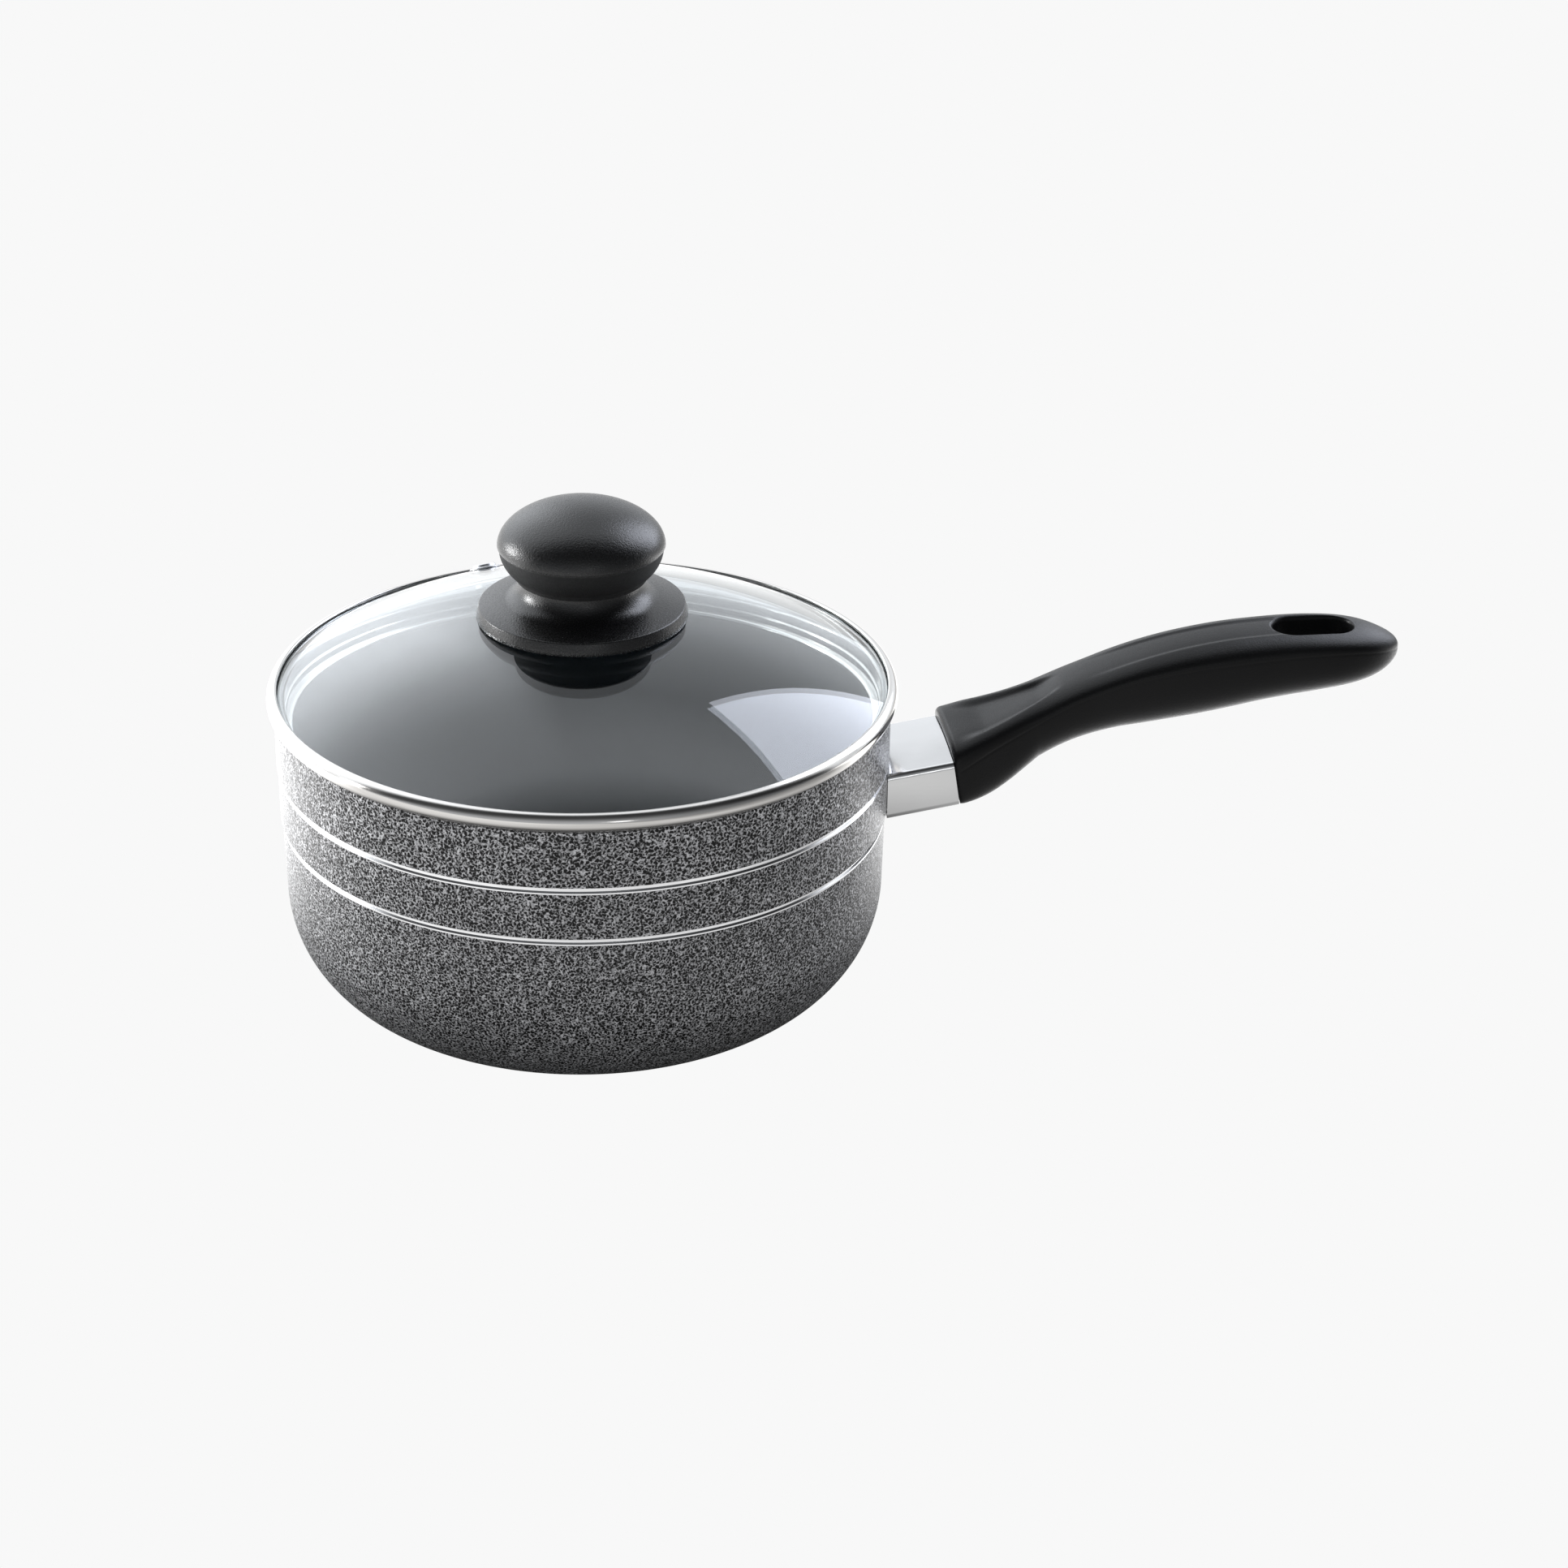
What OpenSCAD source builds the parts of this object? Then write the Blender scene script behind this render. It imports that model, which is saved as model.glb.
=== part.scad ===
// Saucepan with a domed glass lid and a long moulded handle.
// The origin is the centre of the flat underside of the pan, Z points up
// and the handle points along +X. All sizes are in millimetres.

/* [Pan] */
// Height of the pan from the underside to the top of the wall
pan_h = 83.6; // [80:0.2:88]
// Outer radius of the painted wall above the upper polished line
pan_r = 82.2; // [82:0.1:82.6]
// Thickness of the aluminium floor
floor_t = 3.5; // [3:0.1:5]
// Inner radius of the bare aluminium wall at the mouth
mouth_r = 79.6; // [79.5:0.05:79.8]
// Radius of the large rounded corner between wall and floor
corner_r = 32; // [31:0.5:34]
// Thickness of the speckled outer enamel
enamel_t = 0.3; // [0.2:0.05:0.4]
// Thickness of the inner coating
lining_t = 0.2; // [0.1:0.05:0.25]
// Height of the upper polished line above the underside
line_1_z = 67; // [66:0.5:70]
// Height of the lower polished line above the underside
line_2_z = 52.3; // [52:0.1:53]
// Width of each polished line
line_w = 2; // [1.4:0.1:2.4]
// Inward step of the wall at each polished line
line_step = 0.4; // [0.2:0.05:0.5]
// Number of shallow turning grooves in the bare underside
base_grooves = 6; // [0:1:8]

/* [Lid] */
// Radius of the outer face of the domed glass
dome_r = 165; // [164:0.5:168]
// Thickness of the glass
glass_t = 4; // [3.5:0.1:4]
// Outer radius of the steel ring around the glass
ring_r = 84; // [83.8:0.1:84.4]
// Thickness of the steel sheet the ring is rolled from
ring_t = 0.5; // [0.4:0.05:0.5]
// Depth of the ring's inner skirt below the top of the pan wall
skirt_d = 7.1; // [5:0.1:9]
// Distance of the steam vent from the centre of the lid
vent_offset = 68; // [55:1:72]
// Compass angle of the steam vent, counted from the handle
vent_angle = 109; // [60:1:300]
// Diameter of the hole through the steam vent
vent_d = 3.4; // [2.5:0.1:4]

/* [Knob] */
// Outer radius of the knob's base flange
knob_base_r = 28; // [27:0.2:29]
// Largest radius of the knob's cap
knob_cap_r = 22.2; // [21.4:0.2:23.4]
// Height of the knob's cap above the neck
knob_cap_h = 20.6; // [19.6:0.2:22]
// Radius of the neck between flange and cap
neck_r = 15.8; // [15:0.2:17]

/* [Handle] */
// Upward tilt of the steel sleeve, in degrees
guard_tilt = 9; // [6:0.5:11]
// Width of the steel sleeve
guard_w = 32.4; // [31:0.2:33]
// Height of the side faces of the steel sleeve
guard_side_h = 12.8; // [12.4:0.2:13.4]
// Wall thickness of the steel sleeve
guard_t = 0.8; // [0.5:0.1:1]
// Length of the hanging slot
slot_l = 22.2; // [20:0.2:24]
// Width of the hanging slot
slot_w = 11.6; // [10:0.2:12]
// Distance of the middle of the hanging slot from the pan centre
slot_x = 199.4; // [198:0.2:201]
// Diameter of the long handle screw
screw_d = 5; // [4:0.5:5]

/* [Hidden] */
// Which sub-part to draw
$fn = 96;

// pan section
middle_r = pan_r - line_step;
lower_r = middle_r - line_step - 0.1;
bend_r = lower_r - 0.5;
corner_x = bend_r - corner_r;
inner_corner_r = 29.5;
inner_corner_z = floor_t + inner_corner_r;
inner_bend_r = corner_x + inner_corner_r;
groove_d = 0.3;

// lid section
seat_z = pan_h;
ring_bend_r = 2.7;
ring_mid_x = ring_r - ring_bend_r;
ring_mid_z = seat_z + ring_bend_r;
ring_top_z = seat_z + 2 * ring_bend_r;
lip_r = ring_mid_x + 0.4;
lip_bottom_z = ring_top_z - 1.4;
glass_gap = 0.05;
dome_z = lip_bottom_z - glass_gap - sqrt(dome_r * dome_r - lip_r * lip_r);
apex_z = dome_z + dome_r;
skirt_r = 78.9;
skirt_step = 0.5;
skirt_bottom_z = seat_z - skirt_d;
curl_r = 1;

// steam vent
vent_lean = asin(vent_offset / dome_r);
vent_barrel_r = vent_d / 2 + 1;
vent_hole_r = vent_barrel_r + 0.1;
vent_flange_r = 4.3;

// knob stack
gasket_t = 0.8;
glass_hole_r = 3.5;
knob_skin_gap = 0.25;
base_bottom_z = dome_z + sqrt(dome_r * dome_r - knob_base_r * knob_base_r) + knob_skin_gap;
rim_top_z = base_bottom_z + 3.5;
neck_top_z = rim_top_z + 7.6;
neck_fillet_r = 6;
cap_bottom_r = neck_r + 1.6;
cap_split_z = neck_top_z + 8.9;
cap_top_z = neck_top_z + knob_cap_h;
cap_side_r = 8;
cap_low_r = 9.4;
cap_low_z = neck_top_z + 1.1;
cap_step = 0.3;
under_z = dome_z + dome_r - glass_t;
washer_t = 0.8;
head_top_z = under_z - gasket_t - washer_t - 0.3;
lid_screw_r = 2.5;
insert_r = 4;
insert_z = neck_top_z + 0.6;
insert_top_z = cap_top_z - 8;

// handle fittings
guard_root = [81, 0, 56.25];
guard_l = 18.6;
guard_arch = 1.7;
guard_half_w = guard_w / 2;
guard_top = guard_side_h / 2 + guard_arch;
guard_arch_r = (guard_half_w * guard_half_w + guard_arch * guard_arch) / (2 * guard_arch);
guard_clear_r = middle_r + 0.05;
saddle_t = 1.8;
saddle_r = guard_clear_r + saddle_t;
rivet_y = 8;
rivet_z = 56.5;
rivet_turn = asin(rivet_y / middle_r);
rivet_r = 2;
screw_start = [83.5, 0, 57.2];
screw_tilt = 14.6;
boss_r = 5;
boss_l = 11;
slot_end_x = slot_x - slot_l / 2;
screw_l = (slot_end_x - screw_start[0]) / cos(screw_tilt) - 1.6;
head_r = 4.2;
head_h = 3.2;

// grip outline: distance out, half width, underside, side crease, top
grip_outline = [
  [96.0, 16.9, 51.6, 62.0, 69.4],
  [100.0, 16.7, 52.0, 63.4, 70.4],
  [105.0, 15.6, 52.4, 66.0, 72.2],
  [110.0, 14.1, 53.6, 68.4, 73.9],
  [115.0, 12.8, 56.0, 70.6, 75.8],
  [120.0, 11.9, 59.1, 73.0, 77.9],
  [126.0, 11.3, 62.6, 76.1, 80.5],
  [132.0, 11.0, 65.3, 79.0, 83.0],
  [138.0, 11.0, 67.2, 81.3, 85.3],
  [145.0, 11.3, 68.7, 83.8, 87.8],
  [152.0, 11.7, 69.6, 85.6, 90.0],
  [160.0, 12.1, 70.7, 87.2, 92.0],
  [168.0, 12.4, 71.9, 88.4, 93.5],
  [176.0, 12.6, 73.4, 89.3, 94.6],
  [184.0, 12.6, 75.0, 90.0, 95.2],
  [192.0, 12.6, 76.3, 90.6, 95.5],
  [200.0, 12.5, 77.4, 90.9, 95.4],
  [208.0, 11.8, 78.6, 90.7, 94.9],
  [214.0, 10.1, 79.9, 89.9, 93.9],
  [219.0, 7.2, 81.8, 88.6, 92.0],
  [222.4, 3.6, 84.2, 87.4, 89.7],
  [223.6, 0.6, 86.3, 86.8, 87.4]
];
grip_points = 36;
grip_last = len(grip_outline) - 1;

// value between two others by the fraction f, held at the ends
function blend(a, b, f) = a + (b - a) * min(1, max(0, f));
// how square the section is: nearly a rounded box at the sleeve, oval further out
function upper_power(x) = blend(6, 2.3, (x - 97) / 26);
function lower_power(x) = blend(8, 2.7, (x - 97) / 26);
function curve(v, power) = sign(v) * pow(abs(v), 2 / power);
function grip_point(s, a) =
  let (up = sin(a) >= 0, power = up ? upper_power(s[0]) : lower_power(s[0]))
  [
    s[0],
    s[1] * curve(cos(a), power),
    s[3] + (up ? s[4] - s[3] : s[3] - s[2]) * curve(sin(a), power)
  ];

// ---------------------------------------------------------------- pan

// section of the painted outline, from the underside up to height top_z
module outline_section(inset, top_z) {
  translate([0, inset])
    square([corner_x, top_z - inset]);
  intersection() {
    translate([corner_x, corner_r])
      circle(r = corner_r - inset, $fn = 192);
    translate([corner_x, 0])
      square([corner_r, corner_r]);
  }
  polygon([
    [0, corner_r],
    [bend_r - inset, corner_r],
    [lower_r - inset, line_2_z - line_w / 2],
    [lower_r - inset, line_2_z],
    [middle_r - inset, line_2_z],
    [middle_r - inset, line_1_z],
    [pan_r - inset, line_1_z],
    [pan_r - inset, top_z],
    [0, top_z]
  ]);
}

// section of the hollow inside the pan, grown outward by grow
module hollow_section(grow) {
  translate([0, floor_t - grow])
    square([corner_x, inner_corner_r]);
  intersection() {
    translate([corner_x, inner_corner_z])
      circle(r = inner_corner_r + grow, $fn = 192);
    translate([corner_x, 0])
      square([corner_r, inner_corner_z]);
  }
  polygon([
    [0, inner_corner_z],
    [inner_bend_r + grow, inner_corner_z],
    [mouth_r + grow, pan_h],
    [mouth_r + grow, pan_h + 5],
    [0, pan_h + 5]
  ]);
}

// everything the rivet shanks pass through
module rivet_holes(r) {
  for (side = [-1, 1])
    rotate([0, 0, side * rivet_turn])
      translate([70, 0, rivet_z])
        rotate([0, 90, 0])
          cylinder(r = r, h = 20, $fn = 32);
}

module pan_body() {
  color("silver")
    difference() {
      rotate_extrude($fn = 128)
        difference() {
          union() {
            square([corner_x, 10]);
            outline_section(enamel_t, pan_h);
          }
          hollow_section(0);
          // rounded mouth edge
          translate([pan_r - enamel_t - 0.6, pan_h - 0.6])
            difference() {
              square([1, 1]);
              circle(r = 0.6, $fn = 32);
            }
          // hollow polished lines
          for (band = [[line_1_z, middle_r], [line_2_z, lower_r]])
            translate([band[1] - enamel_t + 1.5, band[0]])
              circle(r = 1.5 + groove_d, $fn = 64);
          // shallow rings turned into the underside
          if (base_grooves > 0)
            for (i = [1 : base_grooves])
              translate([i * 7 - 3, -1])
                square([1.2, 1.3]);
        }
      rivet_holes(rivet_r);
    }
}

// band of enamel between two heights
module enamel_band(low_z, high_z) {
  difference() {
    rotate_extrude($fn = 128)
      intersection() {
        difference() {
          outline_section(0, pan_h);
          outline_section(enamel_t, pan_h + 1);
        }
        translate([corner_x + 3, low_z])
          square([60, high_z - low_z]);
      }
    rivet_holes(rivet_r);
  }
}

module outer_enamel_upper() {
  color("dimgray")
    enamel_band(line_1_z + line_w / 2, pan_h - 0.7);
}

module outer_enamel_middle() {
  color("dimgray")
    enamel_band(line_2_z + line_w / 2, line_1_z - line_w / 2);
}

module outer_enamel_lower() {
  color("dimgray")
    enamel_band(0.4, line_2_z - line_w / 2);
}

module nonstick_lining() {
  color([0.13, 0.13, 0.14])
    difference() {
      rotate_extrude($fn = 128)
        intersection() {
          difference() {
            hollow_section(0);
            hollow_section(-lining_t);
          }
          square([100, pan_h - 0.8]);
        }
      rivet_holes(rivet_r);
    }
}

// ------------------------------------------------------------- handle

module along_guard() {
  translate(guard_root)
    rotate([0, -guard_tilt, 0])
      children();
}

module along_screw() {
  translate(screw_start)
    rotate([0, 90 - screw_tilt, 0])
      children();
}

// section of the sleeve: flat sides and underside, gently arched top
module guard_section(inset) {
  half_w = guard_half_w - inset;
  low = -guard_side_h / 2 + inset;
  corner = 2 - inset;
  intersection() {
    translate([0, guard_top - guard_arch_r])
      circle(r = guard_arch_r - inset, $fn = 360);
    union() {
      translate([-half_w, low + corner])
        square([2 * half_w, 2 * guard_side_h]);
      translate([corner - half_w, low])
        square([2 * (half_w - corner), 2 * guard_side_h]);
      for (side = [-1, 1])
        translate([side * (half_w - corner), low + corner])
          circle(r = corner, $fn = 32);
    }
  }
}

// the sleeve section pushed out along the handle between two distances
module guard_prism(from_x, to_x, inset) {
  along_guard()
    translate([from_x, 0, 0])
      rotate([90, 0, 90])
        linear_extrude(height = to_x - from_x)
          guard_section(inset);
}

module flame_guard() {
  color("gainsboro")
    difference() {
      guard_prism(-4, guard_l, 0);
      guard_prism(-6, guard_l + 1, guard_t);
      cylinder(r = guard_clear_r, h = 120, $fn = 128);
    }
}

module handle_bracket() {
  color("lightslategray")
    difference() {
      union() {
        intersection() {
          difference() {
            cylinder(r = saddle_r, h = 100, $fn = 128);
            translate([0, 0, -1])
              cylinder(r = guard_clear_r, h = 120, $fn = 128);
          }
          translate([70, -12.5, 51.4])
            cube([20, 25, 10.4]);
        }
        difference() {
          along_screw()
            translate([0, 0, -3])
              cylinder(r = boss_r - 0.4, h = boss_l + 3, $fn = 48);
          cylinder(r = guard_clear_r + 0.5, h = 120, $fn = 128);
        }
      }
      along_screw()
        translate([0, 0, 1])
          cylinder(r = screw_d / 2, h = 30, $fn = 32);
      rivet_holes(rivet_r);
    }
}

// solid rivet: low head inside the pan, flat tail on the bracket
module bracket_rivets() {
  inner_face = inner_bend_r + (mouth_r - inner_bend_r)
    * (rivet_z - inner_corner_z) / (pan_h - inner_corner_z) - lining_t - 0.25;
  color("silver")
    for (side = [-1, 1])
      rotate([0, 0, side * rivet_turn])
        translate([inner_face, 0, rivet_z])
          rotate([0, 90, 0]) {
            cylinder(r = rivet_r, h = saddle_r - inner_face + 0.5, $fn = 32);
            intersection() {
              translate([0, 0, 5.3])
                sphere(r = 6.8, $fn = 64);
              translate([0, 0, -2])
                cylinder(r = 4.2, h = 2, $fn = 48);
            }
            translate([0, 0, saddle_r - inner_face + 0.05])
              cylinder(r = 3.2, h = 1, $fn = 48);
          }
}

// skin of the grip as one closed surface through the outline sections
module grip_skin() {
  rings = [for (s = grip_outline)
    for (i = [0 : grip_points - 1]) grip_point(s, i * 360 / grip_points)];
  sides = [for (k = [0 : grip_last - 1])
    for (i = [0 : grip_points - 1])
      let (a = k * grip_points + i, b = k * grip_points + (i + 1) % grip_points)
      for (half = [0, 1])
        half == 0 ? [a, b + grip_points, b] : [a, a + grip_points, b + grip_points]];
  near_end = [for (i = [1 : grip_points - 2]) [0, i, i + 1]];
  far = grip_last * grip_points;
  far_end = [for (i = [1 : grip_points - 2]) [far, far + i + 1, far + i]];
  polyhedron(points = rings, faces = concat(sides, near_end, far_end));
}

module handle_grip() {
  color([0.08, 0.08, 0.08])
    difference() {
      union() {
        difference() {
          grip_skin();
          along_guard()
            translate([guard_l - 40, -40, -40])
              cube([40.1, 80, 80]);
        }
        // plug that fills the open end of the sleeve
        guard_prism(guard_l - 6, guard_l + 1, guard_t + 0.1);
      }
      // socket around the bracket boss
      along_screw()
        translate([0, 0, -5])
          cylinder(r = boss_r, h = boss_l + 6, $fn = 48);
      // bore for the long screw
      along_screw()
        cylinder(r = screw_d / 2 + 0.25, h = screw_l + 6, $fn = 32);
      // seat for the washer and the screw head
      along_screw()
        translate([0, 0, screw_l - head_h - 1.2])
          cylinder(r = head_r + 0.7, h = 14, $fn = 48);
      // hanging slot
      for (side = [-1, 1])
        translate([slot_x + side * (slot_l - slot_w) / 2, 0, 60])
          cylinder(r = slot_w / 2, h = 60, $fn = 64);
      translate([slot_x - (slot_l - slot_w) / 2, -slot_w / 2, 60])
        cube([slot_l - slot_w, slot_w, 60]);
    }
}

module handle_screw() {
  color("lightsteelblue")
    along_screw()
      difference() {
        union() {
          translate([0, 0, 3])
            cylinder(r = screw_d / 2, h = screw_l - 3, $fn = 32);
          translate([0, 0, screw_l - head_h])
            cylinder(r = head_r, h = head_h, $fn = 48);
        }
        for (turn = [0, 90])
          rotate([0, 0, turn])
            translate([-2.6, -0.5, screw_l - 2])
              cube([5.2, 1, 3]);
      }
}

module handle_washer() {
  color("gainsboro")
    along_screw()
      translate([0, 0, screw_l - head_h - 1.1])
        difference() {
          cylinder(r = head_r + 0.5, h = 1, $fn = 48);
          translate([0, 0, -1])
            cylinder(r = screw_d / 2 + 0.1, h = 3, $fn = 32);
        }
}

// ---------------------------------------------------------------- lid

// move to the steam vent, with Z along the outward normal of the dome
module at_vent() {
  translate([0, 0, dome_z])
    rotate([0, 0, vent_angle])
      rotate([0, vent_lean, 0])
        children();
}

module lid_glass() {
  color([0.6, 0.7, 0.75, 0.4])
    difference() {
      rotate_extrude($fn = 128)
        difference() {
          intersection() {
            difference() {
              translate([0, dome_z])
                circle(r = dome_r, $fn = 720);
              translate([0, dome_z])
                circle(r = dome_r - glass_t, $fn = 720);
            }
            union() {
              translate([0, seat_z + ring_t + glass_gap])
                square([ring_mid_x, 60]);
              // rounded edge inside the bend of the ring
              translate([ring_mid_x, ring_mid_z])
                circle(r = ring_bend_r - ring_t - glass_gap, $fn = 96);
            }
          }
          square([glass_hole_r, 200]);
        }
      at_vent()
        translate([0, 0, dome_r - glass_t - 10])
          cylinder(r = vent_hole_r, h = 30, $fn = 48);
    }
}

// rolled steel ring: bend around the glass, lip on the glass, seat and inner skirt
module lid_rim() {
  color("gainsboro")
    rotate_extrude($fn = 128) {
      difference() {
        translate([ring_mid_x, ring_mid_z])
          circle(r = ring_bend_r, $fn = 96);
        translate([ring_mid_x, ring_mid_z])
          circle(r = ring_bend_r - ring_t, $fn = 96);
        translate([ring_mid_x - 10, seat_z - 1])
          square([10, 10]);
        translate([ring_mid_x - 0.1, ring_mid_z])
          square([lip_r - ring_mid_x + 0.1, 10]);
      }
      // lip turned down onto the glass
      intersection() {
        translate([ring_mid_x, ring_mid_z])
          circle(r = ring_bend_r, $fn = 96);
        translate([lip_r, lip_bottom_z])
          square([ring_t, 2]);
      }
      // seat that rests on the pan wall
      translate([skirt_r - ring_t, seat_z])
        square([ring_mid_x - skirt_r + ring_t + 0.01, ring_t]);
      // stepped skirt inside the pan
      translate([skirt_r - ring_t, seat_z - 3.2])
        square([ring_t, 3.2 + ring_t]);
      translate([skirt_r - skirt_step - ring_t, seat_z - 3.2])
        square([skirt_step + ring_t, ring_t]);
      translate([skirt_r - skirt_step - ring_t, skirt_bottom_z + curl_r])
        square([ring_t, skirt_d - curl_r - 2.9]);
      // curled lower edge
      translate([skirt_r - skirt_step - curl_r, skirt_bottom_z + curl_r])
        difference() {
          circle(r = curl_r, $fn = 48);
          circle(r = curl_r - ring_t, $fn = 48);
        }
    }
}

module vent_eyelet() {
  color("gainsboro")
    at_vent()
      translate([0, 0, dome_r])
        rotate_extrude($fn = 64)
          difference() {
            union() {
              translate([0, -glass_t - 0.6])
                square([vent_barrel_r, glass_t + 1.2]);
              translate([0, 0.05])
                intersection() {
                  square([vent_flange_r, 1]);
                  translate([0, -9.2])
                    circle(r = 10.1, $fn = 128);
                }
              translate([0, -glass_t - 0.75])
                square([vent_flange_r - 0.5, 0.6]);
            }
            translate([-5, -10])
              square([5 + vent_d / 2, 20]);
          }
}

// --------------------------------------------------------------- knob

// part of a shell that follows the dome, between two radii from the dome centre
module dome_shell(inner, outer, hole_r, rim_r) {
  rotate_extrude($fn = 96)
    intersection() {
      difference() {
        translate([0, dome_z])
          circle(r = outer, $fn = 720);
        translate([0, dome_z])
          circle(r = inner, $fn = 720);
      }
      translate([hole_r, apex_z - 20])
        square([rim_r - hole_r, 40]);
    }
}

module knob_gasket() {
  color([0.2, 0.2, 0.2])
    dome_shell(dome_r, dome_r + gasket_t, glass_hole_r, 15);
}

module knob_base() {
  color([0.08, 0.08, 0.08])
    rotate_extrude($fn = 128)
      difference() {
        union() {
          polygon([
            [0, apex_z - 6],
            [knob_base_r, apex_z - 6],
            [knob_base_r, base_bottom_z + 0.8],
            [knob_base_r - 0.7, rim_top_z],
            [neck_r + neck_fillet_r, rim_top_z + 1.5],
            [neck_r + neck_fillet_r, neck_top_z],
            [0, neck_top_z]
          ]);
          // spigot inside the cap
          square([6.5, neck_top_z + 3]);
        }
        // concave sweep from the flange up to the neck
        translate([neck_r + neck_fillet_r, neck_top_z])
          circle(r = neck_fillet_r, $fn = 96);
        translate([0, dome_z])
          circle(r = dome_r + knob_skin_gap, $fn = 720);
        intersection() {
          translate([0, dome_z])
            circle(r = dome_r + gasket_t, $fn = 720);
          square([15.2, 200]);
        }
        square([insert_r + 0.1, 200]);
        square([100, base_bottom_z]);
      }
}

module knob_cap() {
  dome_h = cap_top_z - cap_split_z;
  side_x = knob_cap_r - cap_side_r;
  // radius of the flat arc over the top, tangent to the side arcs
  top_r = (pow(knob_cap_r, 2) + pow(dome_h, 2) - 2 * knob_cap_r * cap_side_r)
    / (2 * (dome_h - cap_side_r));
  // slope of the line through both arc centres, where the two arcs meet
  meet = atan2(cap_split_z - cap_top_z + top_r, side_x);
  low_x = knob_cap_r - cap_step - cap_low_r;
  low_r = low_x + sqrt(pow(cap_low_r, 2) - pow(cap_split_z - cap_low_z, 2));
  color([0.08, 0.08, 0.08])
    rotate_extrude($fn = 128)
      difference() {
        union() {
          // flat arc over the top
          intersection() {
            translate([0, cap_top_z - top_r])
              circle(r = top_r, $fn = 256);
            polygon([
              [0, cap_split_z],
              [side_x, cap_split_z],
              [side_x + 1.5 * cap_side_r * cos(meet), cap_split_z + 1.5 * cap_side_r * sin(meet)],
              [0, cap_top_z + 5]
            ]);
          }
          // rounded side above the mould seam
          intersection() {
            translate([side_x, cap_split_z])
              circle(r = cap_side_r, $fn = 96);
            translate([side_x, cap_split_z])
              square(cap_side_r);
          }
          // curved underside, one small step in from the seam
          intersection() {
            translate([low_x, cap_split_z])
              circle(r = cap_low_r, $fn = 96);
            translate([low_x, cap_low_z])
              square([cap_low_r, cap_split_z - cap_low_z]);
          }
          translate([0, cap_low_z])
            square([low_x, cap_split_z - cap_low_z]);
          polygon([
            [0, neck_top_z],
            [cap_bottom_r, neck_top_z],
            [low_r, cap_low_z],
            [0, cap_low_z]
          ]);
        }
        // socket for the spigot of the base
        translate([0, neck_top_z - 1])
          square([6.6, 4.2]);
        // seat of the threaded insert
        square([insert_r, insert_top_z]);
      }
}

module knob_insert() {
  color("goldenrod")
    difference() {
      translate([0, 0, insert_z])
        cylinder(r = insert_r, h = insert_top_z - insert_z, $fn = 48);
      translate([0, 0, insert_z - 1])
        cylinder(r = lid_screw_r, h = insert_top_z - insert_z - 1, $fn = 32);
    }
}

module washer_gasket() {
  color([0.2, 0.2, 0.2])
    dome_shell(dome_r - glass_t - gasket_t, dome_r - glass_t, glass_hole_r, 9.5);
}

module knob_washer() {
  color("gainsboro")
    dome_shell(dome_r - glass_t - gasket_t - washer_t, dome_r - glass_t - gasket_t,
      lid_screw_r + 0.2, 10);
}

module knob_screw() {
  color("gainsboro")
    difference() {
      union() {
        translate([0, 0, head_top_z])
          cylinder(r = lid_screw_r, h = insert_top_z - 3 - head_top_z, $fn = 32);
        translate([0, 0, head_top_z - 2.6])
          cylinder(r = 4.8, h = 2.6, $fn = 48);
      }
      for (turn = [0, 90])
        rotate([0, 0, turn])
          translate([-2.6, -0.5, head_top_z - 3.6])
            cube([5.2, 1, 2.4]);
    }
}

pan_body();
outer_enamel_upper();
outer_enamel_middle();
outer_enamel_lower();
nonstick_lining();
handle_bracket();
bracket_rivets();
flame_guard();
handle_grip();
handle_screw();
handle_washer();
lid_glass();
lid_rim();
vent_eyelet();
knob_gasket();
knob_base();
knob_cap();
knob_insert();
washer_gasket();
knob_washer();
knob_screw();
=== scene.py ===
"""Saucepan with a domed glass lid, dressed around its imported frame.

Outlines and tables are in millimetres, as in the part; meshes are made in metres.
The handle points along +X and the front of the studio is -Y.
"""
import math

import bmesh
import bpy
from mathutils import Matrix, Vector


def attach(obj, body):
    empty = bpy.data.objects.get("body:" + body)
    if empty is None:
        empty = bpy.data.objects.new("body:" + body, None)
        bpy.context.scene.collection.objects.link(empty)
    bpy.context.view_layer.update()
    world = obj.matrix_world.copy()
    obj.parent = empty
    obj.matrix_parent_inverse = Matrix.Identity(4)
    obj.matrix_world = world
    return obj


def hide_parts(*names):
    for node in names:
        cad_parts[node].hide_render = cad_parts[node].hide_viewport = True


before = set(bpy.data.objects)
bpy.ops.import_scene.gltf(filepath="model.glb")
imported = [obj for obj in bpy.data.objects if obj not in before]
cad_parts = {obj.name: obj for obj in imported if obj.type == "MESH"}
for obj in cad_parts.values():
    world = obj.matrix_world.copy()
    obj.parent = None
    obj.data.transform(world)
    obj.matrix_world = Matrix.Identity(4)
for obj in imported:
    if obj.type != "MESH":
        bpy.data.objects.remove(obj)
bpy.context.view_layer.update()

MM = 0.001
SEGMENTS = 256
SHARP_ANGLE = math.radians(32)


# ------------------------------------------------------------ outlines

def arc(centre_x, centre_z, radius, start, end, steps):
    """Points along an arc; angles in degrees, counted from +x towards +z."""
    points = []
    for i in range(steps + 1):
        a = math.radians(start + (end - start) * i / steps)
        points.append((centre_x + radius * math.cos(a), centre_z + radius * math.sin(a)))
    return points


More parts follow.
